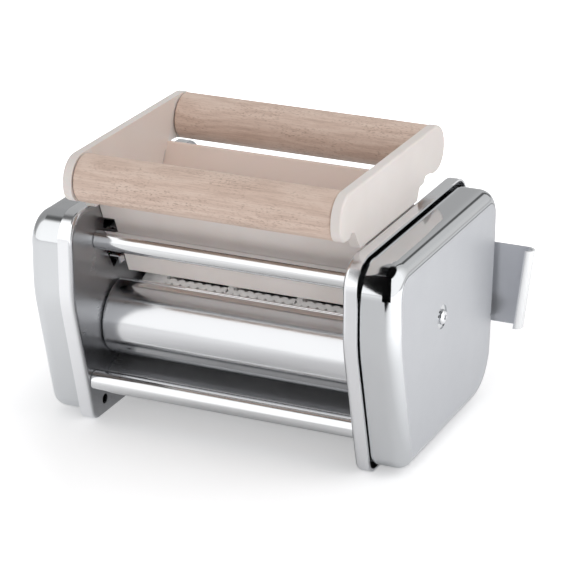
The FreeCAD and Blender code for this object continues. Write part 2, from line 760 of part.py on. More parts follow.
def front_mould_roller():
    """Cast roller: rows of sunk pockets, zigzag-edged ridges between them, a smooth collar at each end."""
    collar_end = f"({MOULD_HALF} + mould_collar_width)"
    body = turned("front_mould_roller", [
        (f"-{collar_end}", SHAFT_R, "0"),
        (collar_end, SHAFT_R, "0"),
        (collar_end, "mould_collar_diameter / 2", "1"),
        (MOULD_HALF, "mould_collar_diameter / 2", "0"),
        (MOULD_HALF, MOULD_RADIUS, "0"),
        (f"-{MOULD_HALF}", MOULD_RADIUS, "0"),
        (f"-{MOULD_HALF}", "mould_collar_diameter / 2", "0"),
        (f"-{collar_end}", "mould_collar_diameter / 2", "1"),
    ], y=roller_y(-1), z="mould_axis_height")
    first = "(-pocket_pitch * (pocket_rows - 1) / 2)"
    left, right = f"({first} - {POCKET_HALF})", f"({first} + {POCKET_HALF})"
    rows = [("pocket_rows", "pocket_pitch")]
    pocket = new_sketch(body, "pocket", "XZ_Plane")
    outline(pocket, [(left, FLOOR, "1.5"), (right, FLOOR, "1.5"),
                     (right, f"{MOULD_RADIUS} + 2", "0"), (left, f"{MOULD_RADIUS} + 2", "0")])
    ridge_angle = f"(ridge_width / {MOULD_RADIUS} * 180 / pi)"
    sunk = turn(body, pocket, f"360 / pockets_around - {ridge_angle}", "Groove", centred=True)
    repeat(body, sunk, rows, "pockets_around")
    edge_step = f"({MOULD_RADIUS} * pi / zigzag_around)"
    ring = new_sketch(body, "ring_notch", "XY_Plane", f"{FLOOR} + 0.6")
    half, deep = f"{edge_step} * 0.7", "zigzag_depth + 0.2"
    outline(ring, triangle(f"({right} - 0.2)", "0", "0", f"-{half}", f"({deep})", "0"))
    outline(ring, triangle(f"({left} + 0.2)", edge_step, "0", half, f"-({deep})", "0"))
    repeat(body, cut(body, ring, "pocket_depth + 3", backwards=True), rows, "zigzag_around")
    step = f"({POCKET_HALF} * 2 / zigzag_per_row)"
    bar = new_sketch(body, "bar_notch", "XY_Plane", f"-{FLOOR} - 0.6")
    outline(bar, triangle(f"({left} + {step} * 0.25)", "(ridge_width / 2 + 0.4)", f"{step} * 0.35", "0",
                          "0", "(-zigzag_depth - 0.4)"))
    outline(bar, triangle(f"({left} + {step} * 0.75)", "(-ridge_width / 2 - 0.4)", f"{step} * -0.35", "0",
                          "0", "(zigzag_depth + 0.4)"))
    repeat(body, cut(body, bar, "pocket_depth + 3"), [("zigzag_per_row", step)] + rows, "pockets_around")
    swing(body, "mould_phase")


def rear_mould_roller():
    """Mirror image of the front roller in the plane of the nip, so that the pockets meet there."""
    roller = doc.addObject("Part::Mirroring", "rear_mould_roller")
    roller.Label = "rear_mould_roller"
    roller.Source = doc.getObject("front_mould_roller")
    roller.Normal = FreeCAD.Vector(0, 1, 0)
    roller.setExpression("Base.y", formula(NIP))


# ---- gears

def roller_gear(end, way):
    """Spur gear on the right end of a shaft: the rear one is turned by half a tooth, to mesh."""
    builder = fcgear.FCWireBuilder()
    involute.CreateExternalGear(builder, value("gear_module"), int(value("gear_teeth")), 20, True)
    profile = doc.addObject("Part::Feature", f"{end}_gear_profile")
    profile.Shape = Part.Face(Part.Wire([edge.toShape() for edge in builder.wire]))
    blank = doc.addObject("Part::Extrusion", f"{end}_gear_blank")
    blank.Base = profile
    blank.DirMode = "Custom"
    blank.Dir = FreeCAD.Vector(0, 0, 1)
    blank.Solid = True
    blank.setExpression("LengthFwd", formula("gear_width"))
    bore = doc.addObject("Part::Cylinder", f"{end}_gear_bore")
    bore.setExpression("Radius", formula(SHAFT_R))
    bore.setExpression("Height", formula("gear_width + 2"))
    bore.Placement.Base.z = -1
    gear = doc.addObject("Part::Cut", f"{end}_roller_gear")
    gear.Label = f"{end}_roller_gear"
    gear.Base, gear.Tool = blank, bore
    along_x = FreeCAD.Rotation(FreeCAD.Vector(1, 1, 1), 120)
    half_tooth = FreeCAD.Rotation(FreeCAD.Vector(0, 0, 1), 180 / value("gear_teeth") if way > 0 else 0)
    gear.Placement.Rotation = along_x * half_tooth
    place(gear, x="gear_place", y=roller_y(way), z="mould_axis_height")


# ---- hopper

CHEEK_INNER = "(hopper_cheek_outer - hopper_cheek_thickness)"
NECK_OUTER = "(hopper_cheek_outer - hopper_cheek_lap)"
WALL = "(hopper_panel_thickness / cos(hopper_panel_tilt))"


def panel_y(height, way, inset="0"):
    """Y of a hopper panel's outer face at a height, moved towards the middle by inset."""
    lean = f"(hopper_panel_top - ({height})) * tan(hopper_panel_tilt)"
    return f"({NIP} + {way} * (hopper_panel_reach - {lean} - ({inset})))"


def cheek_corners():
    front, back = FRONT, f"({FRONT} + hopper_length)"
    low = "(hopper_top - hopper_beam_depth)"
    lobe = "(hopper_beam_depth / 2 - 0.02)"
    ledge, lap = "hopper_ledge_height", "(plate_height + hopper_lap_play)"
    return [
        (front, "hopper_top", lobe),
        (front, f"{low} + 1.2", "9"),
        (f"{front} + 11.6", f"{low} + 1.2", "0"),
        (f"{front} + 13.2", f"{low} + 4.6", "1.2"),
        (f"{front} + 17.6", f"{low} + 3.2", "1.2"),
        (f"{NIP} - hopper_neck_front", lap, "0"),
        (panel_y(lap, -1), lap, "0"),
        (panel_y(ledge, -1), ledge, "0"),
        (panel_y(ledge, 1), ledge, "0"),
        (f"{NIP} + hopper_neck_back", lap, "1"),
        (f"{NIP} + hopper_neck_back + 3", f"{low} - 1", "2"),
        (f"{NIP} + hopper_neck_back + 9.4", f"{low} - 0.4", "1"),
        (f"{NIP} + hopper_neck_back + 11", f"{low} + 2.6", "1.4"),
        (f"{NIP} + hopper_neck_back + 17", f"{low} + 2.2", "2"),
        (f"{NIP} + hopper_neck_back + 24", low, "0"),
        (back, low, f"{lobe} - 1.5"),
        (back, "hopper_top", lobe),
    ]


def hopper():
    """One moulding: two cheeks joined by a V trough that narrows below the ledges."""
    body = new_body("hopper")
    top, low, ledge = "hopper_panel_top", "hopper_panel_low", "hopper_ledge_height"
    trough = new_sketch(body, "trough", "YZ_Plane")
    for way in ENDS.values():
        outline(trough, [
            (panel_y(top, way), top, "0.8"), (panel_y(low, way), low, "0.8"),
            (panel_y(low, way, WALL), low, "0.8"), (panel_y(top, way, WALL), top, "0.8")])
    pad(body, trough, f"({CHEEK_INNER} + 1) * 2", both_ways=True)
    for side, sign in SIDES.items():
        flip = sign < 0
        inner = f"{sign} * (hopper_lower_half - hopper_panel_thickness)"
        wall = new_sketch(body, f"{side}_end_wall", "YZ_Plane", inner)
        above = f"{ledge} + hopper_ledge_thickness"
        outline(wall, sharp((panel_y(above, -1), above), (panel_y(low, -1), low),
                            (panel_y(low, 1), low), (panel_y(above, 1), above)))
        pad(body, wall, f"{NECK_OUTER} - hopper_lower_half + hopper_panel_thickness", flip)
        below = new_sketch(body, f"{side}_below_ledge", "XZ_Plane")
        neck, plate = f"{sign} * hopper_lower_half", f"{sign} * {PLATE_OUT}"
        outline(below, sharp((neck, f"{low} - 1"), (plate, f"{low} - 1"), (plate, ledge), (neck, ledge)))
        cut(body, below, "hopper_length", both_ways=True)
        cheek = new_sketch(body, f"{side}_cheek", "YZ_Plane", f"{sign} * {CHEEK_INNER}")
        pad(body, outline(cheek, cheek_corners()), "hopper_cheek_thickness", flip)
        lap = new_sketch(body, f"{side}_lap", "XZ_Plane")
        lap_low, lap_out = f"({ledge} - 1)", f"{sign} * (hopper_cheek_outer + 1)"
        outline(lap, sharp((f"{sign} * {NECK_OUTER}", lap_low), (lap_out, lap_low),
                           (lap_out, "plate_height + hopper_lap_play"),
                           (f"{sign} * {NECK_OUTER}", "plate_height + hopper_lap_play")))
        cut(body, lap, "hopper_length * 2", both_ways=True)
    for side, sign in SIDES.items():
        round_edges(body, f"{side}_rim", "hopper_edge_round",
                    in_plane_x(f"{sign} * hopper_cheek_outer", above="hopper_top - hopper_beam_depth / 2"))
    for side, sign in SIDES.items():
        seats = new_sketch(body, f"{side}_spigot_seats", "YZ_Plane", f"{sign} * {CHEEK_INNER}")
        for way in ENDS.values():
            circle(seats, beech_y(way), "hopper_top - beech_drop", "beech_spigot + shaft_play * 2")
        cut(body, seats, "beech_spigot_length - beech_side_gap + 0.4", sign > 0)
    slit = new_sketch(body, "snap_slit", "YZ_Plane")
    low_edge = "(hopper_top - hopper_beam_depth)"
    slit_y = f"({NIP} + snap_slit_reach)"
    outline(slit, sharp((slit_y, f"{low_edge} - 2"), (f"{slit_y} + snap_slit_width", f"{low_edge} - 2"),
                        (f"{slit_y} + snap_slit_width", f"{low_edge} + snap_slit_height"),
                        (slit_y, f"{low_edge} + snap_slit_height")))
    cut(body, slit, "sheet_width", both_ways=True)


def beech_y(way):
    return f"({NIP} + {way} * (hopper_length / 2 - beech_setback))"


def beech_roller(end, way):
    half = f"({CHEEK_INNER} - beech_side_gap)"
    tip = f"({half} + beech_spigot_length)"
    turned(f"{end}_beech_roller", [
        (f"-{tip}", "0", "0"),
        (tip, "0", "0"),
        (tip, "beech_spigot / 2", "0.5"),
        (half, "beech_spigot / 2", "0"),
        (half, "beech_diameter / 2", "1.2"),
        (f"-{half}", "beech_diameter / 2", "1.2"),
        (f"-{half}", "beech_spigot / 2", "0"),
        (f"-{tip}", "beech_spigot / 2", "0.5"),
    ], y=beech_y(way), z="hopper_top - beech_drop")


# ---- hopper springs

def hopper_spring(side, sign, end, way):
    """Strip spring behind a plate: both arms reach in through windows, and the top one bears the hopper."""
    body = new_body(f"{side}_{end}_hopper_spring")
    nose, back = f"({PLATE_IN} - spring_nose)", PLATE_OUT
    face = f"({PLATE_OUT} + spring_thickness)"
    arm, half = "spring_spread", "(spring_thickness / 2)"
    tip = "(hopper_ledge_height - 0.3 - spring_height)"
    inner, foot = f"({nose} + spring_thickness)", "(spring_spread + 3.5)"
    corners = [
        (nose, tip, "0"), (inner, tip, "0"),
        (inner, f"{arm} + {half}", "0.8"), (face, f"{arm} + {half}", "1.6"),
        (face, f"-{arm} - {half}", "1.6"), (inner, f"-{arm} - {half}", "0.8"), (inner, f"-{foot}", "0"),
        (nose, f"-{foot}", "0"), (nose, f"-{arm} + {half}", "1.6"), (back, f"-{arm} + {half}", "0.8"),
        (back, f"{arm} - {half}", "0.8"), (nose, f"{arm} - {half}", "1.6"),
    ]
    strip = new_sketch(body, "strip", "XZ_Plane")
    outline(strip, [(f"{sign} * {x}", z, r) for x, z, r in corners])
    pad(body, strip, "spring_width", both_ways=True)
    place(body, y=f"{NIP} + {way} * spring_reach", z="spring_height")


# ---- build

for side, sign in SIDES.items():
    cheek_plate(side, sign)
    cover(side, sign)
    cover_pillar(side, sign)
    cover_screw(side, sign)
    tie_rod_screws(side, sign)
    hook_bracket(side, sign)
    for end, way in ENDS.items():
        bush(side, sign, end, way)
        hopper_spring(side, sign, end, way)
for end, way in ENDS.items():
    upper_tie_rod(end, way)
    lower_tie_rod(end, way)
    guard(end, way)
    shaft(end, way)
    circlips(end, way)
    roller_gear(end, way)
    beech_roller(end, way)
front_mould_roller()
rear_mould_roller()
crank_socket()
exit_slide()
hopper()
doc.recompute()

NODES = (
    [f"{side}_{piece}" for side in SIDES for piece in (
        "cheek_plate", "cover", "cover_pillar", "cover_screw", "tie_rod_screws", "hook_bracket",
        "front_bush", "rear_bush", "front_hopper_spring", "rear_hopper_spring")]
    + [f"{level}_{end}_tie_rod" for level in ("upper", "lower") for end in ENDS]
    + [f"{end}_{piece}" for end in ENDS for piece in (
        "guard", "shaft", "shaft_circlips", "mould_roller", "roller_gear", "beech_roller")]
    + ["crank_socket", "exit_slide", "hopper"]
)

for thing in doc.Objects:
    if "Invalid" in thing.State or "Error" in thing.State:
        raise RuntimeError(f"{thing.Name} failed: {thing.State}")
pieces = {}
for node in NODES:
    shape = doc.getObjectsByLabel(node)[0].Shape
    if shape.isNull() or not shape.isValid() or not shape.Solids:
        raise RuntimeError(f"{node} has no valid solid")
    pieces[node] = shape
os.makedirs("parts", exist_ok=True)
for node, shape in pieces.items():
    shape.exportStep(f"parts/{node}.step")
print(len(pieces), "nodes written")
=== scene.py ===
import math
import json
import bpy
import bmesh
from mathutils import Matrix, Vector


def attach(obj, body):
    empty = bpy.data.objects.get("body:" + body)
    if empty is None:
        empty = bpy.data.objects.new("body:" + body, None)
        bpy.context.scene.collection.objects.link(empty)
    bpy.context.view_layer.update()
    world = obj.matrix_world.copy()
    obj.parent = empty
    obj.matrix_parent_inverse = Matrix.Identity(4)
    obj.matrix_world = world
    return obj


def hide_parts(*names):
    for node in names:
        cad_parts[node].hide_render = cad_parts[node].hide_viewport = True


# lengths are in metres and angles in degrees
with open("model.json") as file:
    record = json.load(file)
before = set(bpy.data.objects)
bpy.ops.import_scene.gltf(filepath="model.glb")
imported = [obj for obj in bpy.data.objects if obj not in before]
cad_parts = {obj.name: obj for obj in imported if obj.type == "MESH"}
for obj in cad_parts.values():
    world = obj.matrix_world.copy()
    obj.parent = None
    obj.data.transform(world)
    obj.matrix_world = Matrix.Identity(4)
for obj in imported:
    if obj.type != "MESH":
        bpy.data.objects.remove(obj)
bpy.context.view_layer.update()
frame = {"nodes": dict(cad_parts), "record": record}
nodes = frame["nodes"]
scene = bpy.context.scene
print("frame loaded,", len(nodes), "CAD nodes")


def hexColor(text):  # sRGB hex to the linear colour that Blender's sockets take
    values = [int(text[at:at + 2], 16) / 255 for at in (0, 2, 4)]
    linear = [v / 12.92 if v <= 0.04045 else ((v + 0.055) / 1.055) ** 2.4 for v in values]
    return (*linear, 1.0)


def addNode(tree, kind, *inputs, stops=(), **named):
    # inputs come in order, or by name with _ for a space; names all in small letters are the node's settings;
    # stops are a colour ramp's (place, colour) pairs, in hex or linear; what comes back is the node's outputs
    node = tree.nodes.new("ShaderNode" + kind)
    for name, value in named.items():
        if name.islower():
            setattr(node, name, value)
    values = list(enumerate(inputs))
    values += [(name.replace("_", " "), value) for name, value in named.items() if not name.islower()]
    for which, value in values:
        if isinstance(value, bpy.types.NodeSocket):
            tree.links.new(value, node.inputs[which])
        else:
            node.inputs[which].default_value = value
    if stops:
        elements = node.color_ramp.elements
        while len(elements) < len(stops):
            elements.new(0.5)
        for element, (place, color) in zip(elements, stops):
            element.position = place
            element.color = hexColor(color) if isinstance(color, str) else color
    return node.outputs


def newMaterial(name):  # a material with an empty tree
    material = bpy.data.materials.new(name)
    material.use_nodes = True
    material.node_tree.nodes.clear()
    return material, material.node_tree


# what all the steel has in common; a noise scale counts per metre, so that 45 gives clouds of about 22 mm
steelSkin = {"lines": {"Scale": 1.0, "Detail": 3.0, "Roughness": 0.6}, "lineDepth": 0.00003,
             "clouds": {"Scale": 45.0, "Detail": 2.0}, "lineShare": 0.6, "cloudRange": (0.4, 1.2),
             "glossRange": (0.8, 1.25)}


def steelShader(tree, tint, gloss, fine, grain, metal=1.0):
    bump = addNode(tree, "Bump", Height=fine, Strength=grain, Distance=steelSkin["lineDepth"])[0]
    return addNode(tree, "BsdfPrincipled", Base_Color=tint, Metallic=metal, Roughness=gloss, Normal=bump)[0]


def polishLines(tree, place, lines):  # 0.4 mm to 0.9 mm apart, coarser than real ones so that they show
    drawn = addNode(tree, "Mapping", Vector=place, Scale=lines)[0]
    return addNode(tree, "TexNoise", Vector=drawn, **steelSkin["lines"])["Fac"]


def glossClouds(tree, place, fine, rough):  # roughness drifts over about 22 mm, and a little with each line
    cloud = addNode(tree, "TexNoise", Vector=place, **steelSkin["clouds"])["Fac"]
    both = addNode(tree, "Math", fine, steelSkin["lineShare"], cloud, operation="MULTIPLY_ADD")[0]
    least, most = steelSkin["glossRange"]
    return addNode(tree, "MapRange", both, *steelSkin["cloudRange"], rough * least, rough * most)[0]


def glossBetween(tree, place, fine, share, roughs):
    # the first roughness where share is 0, and the second where it is 1
    first, second = [glossClouds(tree, place, fine, rough) for rough in roughs]
    return addNode(tree, "Mix", Factor=share, A=first, B=second)["Result"]


def polishedSteel(name, tint, rough, grain, lines, metal=1.0):
    # polished or brushed on a belt: a reflection softened and drawn out by fine lines
    material, tree = newMaterial(name)
    place = addNode(tree, "TexCoord")["Object"]
    fine = polishLines(tree, place, lines)
    gloss = glossClouds(tree, place, fine, rough)
    addNode(tree, "OutputMaterial", steelShader(tree, hexColor(tint), gloss, fine, grain, metal))
    return material


def sideDistance(tree, place):  # how far a point lies from the middle of the machine, along the rollers
    across = addNode(tree, "SeparateXYZ", place)["X"]
    return addNode(tree, "Math", across, operation="ABSOLUTE")[0]


# face and edge go from none to full between two distances from the middle, and edgeHeight between two heights
coverSteel = {"face": (0.1029, 0.10297), "edge": (0.10279, 0.10288), "edgeHeight": (0.086, 0.1),
              "lines": (200, 200, 2600), "roughs": (0.08, 0.42), "bendTint": "D1D3D5",
              "edgeReflectionTint": "707275", "faceTint": "C4C6CA", "metals": (1.0, 0.3), "grain": 0.12}


def coverSteelMaterial():
    # deep drawn and chrome plated: the bends reflect like a mirror, the flat face is rubbed to an even satin,
    # and a fine dark line is painted along its edge near the top: a painted dark reflection in the crease
    material, tree = newMaterial("drawnCoverSteel")
    place = addNode(tree, "TexCoord")["Object"]
    height = addNode(tree, "SeparateXYZ", place)["Z"]
    side = sideDistance(tree, place)
    face = addNode(tree, "MapRange", side, *coverSteel["face"])[0]
    edge = addNode(tree, "MapRange", side, *coverSteel["edge"])[0]
    upper = addNode(tree, "MapRange", height, *coverSteel["edgeHeight"])[0]
    fine = polishLines(tree, place, coverSteel["lines"])
    gloss = glossBetween(tree, place, fine, face, coverSteel["roughs"])
    # painted dark reflection: a dark tint along the face's edge, near the top only
    onlyEdge = addNode(tree, "Math", edge, face, operation="SUBTRACT", use_clamp=True)[0]
    line = addNode(tree, "Math", onlyEdge, upper, operation="MULTIPLY")[0]
    bends = addNode(tree, "MixRGB", line, hexColor(coverSteel["bendTint"]),
                    hexColor(coverSteel["edgeReflectionTint"]))[0]
    tint = addNode(tree, "MixRGB", face, bends, hexColor(coverSteel["faceTint"]))[0]
    metal = addNode(tree, "MapRange", face, 0.0, 1.0, *coverSteel["metals"])[0]
    addNode(tree, "OutputMaterial", steelShader(tree, tint, gloss, fine, coverSteel["grain"], metal))
    return material


# rim goes from none to full between two distances from the middle
plateSteel = {"rim": (0.0752, 0.0764), "lines": (200, 200, 2400), "roughs": (0.3, 0.16),
              "innerShadeTint": "A6A7AA", "rimHighlightTint": "EAEBED", "grain": 0.25}


def plateSteelMaterial():
    # pressed sheet: the inner face is left satin, with a darker grey painted between the rollers (painted
    # shade); the bent rim is polished, with a lighter tint painted along the bend (a painted highlight)
    material, tree = newMaterial("pressedPlateSteel")
    place = addNode(tree, "TexCoord")["Object"]
    rim = addNode(tree, "MapRange", sideDistance(tree, place), *plateSteel["rim"])[0]
    fine = polishLines(tree, place, plateSteel["lines"])
    gloss = glossBetween(tree, place, fine, rim, plateSteel["roughs"])
    # painted shade on the inner face between the rollers, and a painted highlight on the bent rim
    tint = addNode(tree, "MixRGB", rim, hexColor(plateSteel["innerShadeTint"]), hexColor(plateSteel["rimHighlightTint"]))[0]
    addNode(tree, "OutputMaterial", steelShader(tree, tint, gloss, fine, plateSteel["grain"]))
    return material


# the lip lies past a distance from the middle that grows a little with the height
hookSteel = {"lean": -0.115, "lip": (0.1098, 0.1112), "lines": (260, 260, 2200), "roughs": (0.36, 0.2),
             "stripTint": "BEC0C6", "lipHighlightTint": "EEEFF0", "grain": 0.3, "metal": 0.4}


def hookSteelMaterial():
    # pressed sheet, satin; its leaning outer edge is polished, and its tint painted lighter: a painted
    # highlight along the rolled edge
    material, tree = newMaterial("satinHookSteel")
    place = addNode(tree, "TexCoord")["Object"]
    height = addNode(tree, "SeparateXYZ", place)["Z"]
    slant = addNode(tree, "Math", height, hookSteel["lean"], sideDistance(tree, place),
                    operation="MULTIPLY_ADD")[0]
    lip = addNode(tree, "MapRange", slant, *hookSteel["lip"])[0]
    fine = polishLines(tree, place, hookSteel["lines"])
    gloss = glossBetween(tree, place, fine, lip, hookSteel["roughs"])
    # the lip's lighter tint is a painted highlight
    tint = addNode(tree, "MixRGB", lip, hexColor(hookSteel["stripTint"]), hexColor(hookSteel["lipHighlightTint"]))[0]
    shader = steelShader(tree, tint, gloss, fine, hookSteel["grain"], hookSteel["metal"])
    addNode(tree, "OutputMaterial", shader)
    return material


def brightEdgeMaterial():  # rolled sheet edge, buffed, and painted near white, lighter than the guard's steel: a painted highlight that shows as a light line
    return polishedSteel("buffedHighlightEdge", tint="FAFAFB", rough=0.07, grain=0.05, lines=(1200, 1200, 1200))


def rodSteelMaterial():  # bar turned and polished: a narrow bright highlight along the rod
    return polishedSteel("polishedRodSteel", tint="DADBDC", rough=0.1, grain=0.2, lines=(2600, 160, 160))


def guardSteelMaterial():  # rolled sheet, brushed along the roller: a long streaked highlight
    return polishedSteel("brushedGuardSteel", tint="D2D3D5", rough=0.17, grain=0.5, lines=(60, 2200, 2200))


def slideSteelMaterial():  # the same sheet, brushed coarser and duller, and painted darker: painted shade, as it lies under the guard
    return polishedSteel("brushedSlideSteel", tint="AEAFB2", rough=0.3, grain=0.9, lines=(40, 1100, 1100),
                         metal=0.85)


def machinedSteelMaterial():  # turned on a lathe, unplated: darker, with a soft broad highlight
    return polishedSteel("machinedSteel", tint="B4B5B8", rough=0.3, grain=0.4, lines=(2400, 300, 300))


def springSteelMaterial():  # bright rolled strip: small clear highlights
    return polishedSteel("brightSpringSteel", tint="D2D2D4", rough=0.2, grain=0.3, lines=(300, 300, 2400))


def screwMaterial():  # chrome plated: nearly a mirror, with hardly a line in it
    return polishedSteel("chromeScrew", tint="E0E1E3", rough=0.12, grain=0.1, lines=(1500, 1500, 1500))


castSkin = {"grit": {"Scale": 3000.0, "Detail": 2.0}, "patches": {"Scale": 180.0, "Detail": 3.0},
            "tints": [(0.3, "E4E5E5"), (0.7, "F6F6F6")], "gritRange": (0.3, 0.7), "rough": (0.36, 0.52),
            "bump": {"Strength": 0.5, "Distance": 0.0001}, "metal": 0.3}


def castAluminiumMaterial():
    # die cast aluminium, left as cast: silver grey, half matt, with a grain of about a third of a millimetre
    material, tree = newMaterial("dieCastAluminium")
    place = addNode(tree, "TexCoord")["Object"]
    grit = addNode(tree, "TexNoise", Vector=place, **castSkin["grit"])["Fac"]
    patch = addNode(tree, "TexNoise", Vector=place, **castSkin["patches"])["Fac"]
    tint = addNode(tree, "ValToRGB", patch, stops=castSkin["tints"])["Color"]
    gloss = addNode(tree, "MapRange", grit, *castSkin["gritRange"], *castSkin["rough"])[0]
    bump = addNode(tree, "Bump", Height=grit, **castSkin["bump"])[0]
    shader = addNode(tree, "BsdfPrincipled", Base_Color=tint, Metallic=castSkin["metal"], Roughness=gloss,
                     Normal=bump)[0]
    addNode(tree, "OutputMaterial", shader)
    return material


nipPlane = -0.0089  # y of the plane between the two mould rollers

# reach is half the hopper's width at the height top; the painted shade lies wallDepth inside that, and above
# the last pair of heights
trough = {"reach": 0.0401, "top": 0.133, "lean": math.tan(math.radians(23.8)), "halfLength": 0.0712,
          "wallDepth": (0.0022, 0.0012), "endSoft": 0.0004, "shadeHeights": (0.092, 0.108)}


def troughShadeMask(tree, place):  # 1 high on the hopper's inner walls, where a darker, warmer tint is painted: painted shade and warm light bounced from the wood
    axes = addNode(tree, "SeparateXYZ", place)
    off = addNode(tree, "Math", axes["Y"], nipPlane, operation="SUBTRACT")[0]
    off = addNode(tree, "Math", off, operation="ABSOLUTE")[0]
    depth = addNode(tree, "Math", axes["Z"], -trough["lean"], off, operation="MULTIPLY_ADD")[0]
    edge = trough["reach"] - trough["top"] * trough["lean"]
    start, end = [edge - share for share in trough["wallDepth"]]
    between = addNode(tree, "MapRange", depth, start, end, 1.0, 0.0)[0]
    half = trough["halfLength"]
    within = addNode(tree, "MapRange", sideDistance(tree, place), half - trough["endSoft"], half,
                     1.0, 0.0)[0]
    upper = addNode(tree, "MapRange", axes["Z"], *trough["shadeHeights"])[0]
    inside = addNode(tree, "Math", between, within, operation="MULTIPLY")[0]
    return addNode(tree, "Math", inside, upper, operation="MULTIPLY")[0]


plasticSkin = {"clouds": {"Scale": 28.0, "Detail": 3.0}, "grain": {"Scale": 3300.0, "Detail": 1.0},
               "tintPlaces": (0.35, 0.65), "cloudRange": (0.3, 0.7), "roughSpread": 0.04,
               "bump": {"Strength": 0.12, "Distance": 0.00005},
               "body": {"IOR": 1.54, "Subsurface_Weight": 0.08, "Subsurface_Scale": 0.004}}


def plasticMaterial(name, light, dark, rough, inner=None):
    # injection moulded: even colour, a fine spark-eroded skin of 0.3 mm and a soft sheen
    material, tree = newMaterial(name)
    place = addNode(tree, "TexCoord")["Object"]
    cloud = addNode(tree, "TexNoise", Vector=place, **plasticSkin["clouds"])["Fac"]
    grain = addNode(tree, "TexNoise", Vector=place, **plasticSkin["grain"])["Fac"]
    stops = list(zip(plasticSkin["tintPlaces"], (dark, light)))
    tint = addNode(tree, "ValToRGB", cloud, stops=stops)["Color"]
    # a darker, warmer tint on the hopper's inner walls: painted shade
    if inner:
        tint = addNode(tree, "MixRGB", troughShadeMask(tree, place), tint, hexColor(inner))[0]
    spread = plasticSkin["roughSpread"]
    gloss = addNode(tree, "MapRange", cloud, *plasticSkin["cloudRange"], rough - spread, rough + spread)[0]
    bump = addNode(tree, "Bump", Height=grain, **plasticSkin["bump"])[0]
    shader = addNode(tree, "BsdfPrincipled", Base_Color=tint, Roughness=gloss, Normal=bump,
                     **plasticSkin["body"])[0]
    addNode(tree, "OutputMaterial", shader)
    return material


def creamPlasticMaterial():  # ABS, pale cream, with painted shade on the hopper's inner walls
    return plasticMaterial("creamAbs", light="E8E1DD", dark="E2DAD5", rough=0.38, inner="E4D3C9")


def whitePlasticMaterial():  # acetal, white and a little glossier
    return plasticMaterial("whiteAcetal", light="ECECE8", dark="E4E4E0", rough=0.34)


# rings lie 5 mm apart; pores are about 0.8 mm wide and ray flecks 0.5 mm, drawn coarse so that they show
beech = {"along": (0.42, 1.0, 1.0),
         "rings": {"Scale": 62.0, "Distortion": 11.0, "Detail": 3.0, "Detail_Scale": 0.9}, "ringShare": 0.22,
         "poreScale": (60, 1300, 1300), "pores": {"Scale": 1.0, "Detail": 3.0, "Roughness": 0.65},
         "tints": [(0.35, "C9B0A1"), (0.6, "D9C1B2"), (0.85, "E1CCBE")], "fleckTint": "A98E7E",
         "fleckScale": (520, 2000, 2000), "flecks": {"Scale": 1.0, "Detail": 1.0},
         "fleckRange": (0.56, 0.68, 0.0, 0.75), "patches": {"Scale": 70.0, "Detail": 2.0},
         "patchRange": (0.44, 0.62, 0.25, 1.0), "bump": {"Strength": 0.15, "Distance": 0.00008}, "rough": 0.5}


def beechMaterial():
    # turned beech, unvarnished: pale pink beige, faint wavy growth rings and patches of short ray flecks
    material, tree = newMaterial("turnedBeech")
    place = addNode(tree, "TexCoord")["Object"]
    drawn = addNode(tree, "Mapping", Vector=place, Scale=beech["along"])[0]
    rings = addNode(tree, "TexWave", wave_type="RINGS", rings_direction="X", Vector=drawn,
                    **beech["rings"])["Fac"]
    porePlace = addNode(tree, "Mapping", Vector=place, Scale=beech["poreScale"])[0]
    pores = addNode(tree, "TexNoise", Vector=porePlace, **beech["pores"])["Fac"]
    both = addNode(tree, "Math", rings, beech["ringShare"], pores, operation="MULTIPLY_ADD")[0]
    base = addNode(tree, "ValToRGB", both, stops=beech["tints"])["Color"]
    fleckPlace = addNode(tree, "Mapping", Vector=place, Scale=beech["fleckScale"])[0]
    fleck = addNode(tree, "TexNoise", Vector=fleckPlace, **beech["flecks"])["Fac"]
    patch = addNode(tree, "TexNoise", Vector=drawn, **beech["patches"])["Fac"]
    fleck = addNode(tree, "MapRange", fleck, *beech["fleckRange"])[0]
    patch = addNode(tree, "MapRange", patch, *beech["patchRange"])[0]
    mark = addNode(tree, "Math", fleck, patch, operation="MULTIPLY")[0]
    tint = addNode(tree, "MixRGB", mark, base, hexColor(beech["fleckTint"]))[0]
    bump = addNode(tree, "Bump", Height=pores, **beech["bump"])[0]
    shader = addNode(tree, "BsdfPrincipled", Base_Color=tint, Roughness=beech["rough"], Normal=bump)[0]
    addNode(tree, "OutputMaterial", shader)
    return material


finishes = {
    "polished_plate_steel": plateSteelMaterial(),
    "polished_cover_steel": coverSteelMaterial(),
    "machined_steel": machinedSteelMaterial(),
    "spring_steel": springSteelMaterial(),
    "chrome_screw": screwMaterial(),
    "cast_aluminium": castAluminiumMaterial(),
    "white_plastic": whitePlasticMaterial(),
    "cream_plastic": creamPlasticMaterial(),
    "beech": beechMaterial(),
}

# nodes whose steel differs from the rest of their slot
guardSteel = guardSteelMaterial()
slideSteel = slideSteelMaterial()
bracketSteel = hookSteelMaterial()
rodSteel = rodSteelMaterial()
special = {
    "front_guard": guardSteel,
    "rear_guard": guardSteel,
    "exit_slide": slideSteel,
    "left_hook_bracket": bracketSteel,
    "right_hook_bracket": bracketSteel,
    "upper_front_tie_rod": rodSteel,
    "upper_rear_tie_rod": rodSteel,
    "lower_front_tie_rod": rodSteel,
    "lower_rear_tie_rod": rodSteel,
}

for part in frame["record"]["subparts"]:
    material = special.get(part["node"], finishes[part["material_slot"]])
    for slot in nodes[part["node"]].material_slots:
        slot.material = material
print("materials made and given to the CAD nodes")

endFacing = 0.9  # a face counts as an end when its normal lies this closely along the rollers


def selectOnly(piece):
    bpy.ops.object.select_all(action="DESELECT")
    piece.select_set(True)
    bpy.context.view_layer.objects.active = piece


